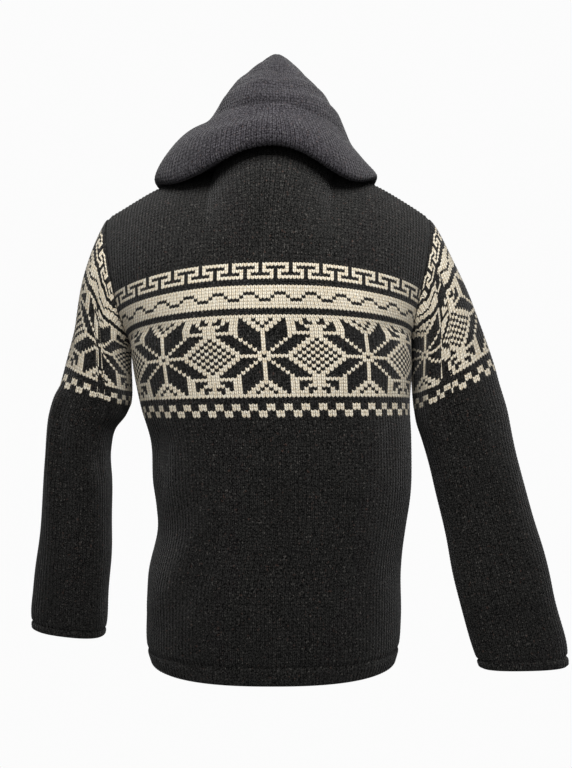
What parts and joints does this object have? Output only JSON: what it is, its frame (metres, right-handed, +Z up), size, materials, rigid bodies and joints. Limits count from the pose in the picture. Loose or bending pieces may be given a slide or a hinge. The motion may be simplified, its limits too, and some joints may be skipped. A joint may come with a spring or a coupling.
{
  "type": "zip-up hoodie",
  "caption": "Hooded zip-front jumper in chunky charcoal wool with knitted cream pattern bands, shown worn by nobody, with the hood up and a free-hanging zip pull tab",
  "frame": {"origin": "The middle of the neck between the shoulders, where the wearer's neck holds the garment", "axes": "+Z up, +X to the wearer's left, -Y the front with the zip, +Y the back that the picture shows"},
  "size_m": [0.801, 0.2716, 0.892],
  "materials": {
    "wool": "chunky charcoal wool stocking stitch with knitted-in cream bands",
    "zip_tape": "black woven tape",
    "zip_metal": "dull nickel-plated metal"
  },
  "bodies": {
    "garment": {"back": "wool", "front_left": "wool", "front_right": "wool", "sleeve_left": "wool", "sleeve_right": "wool", "hood": "wool", "zip_tape_left": "zip_tape", "zip_tape_right": "zip_tape", "zip_chain": "zip_metal", "zip_slider": "zip_metal"},
    "pull_tab": {"zip_pull_tab": "zip_metal"}
  },
  "joints": [
    {"name": "pull_tab_hinge", "type": "hinge", "parent": "garment", "child": "pull_tab", "pos_m": [0, -0.10984, -0.09813], "axis": [-1, 0, 0], "range_deg": [0, 150]}
  ]
}
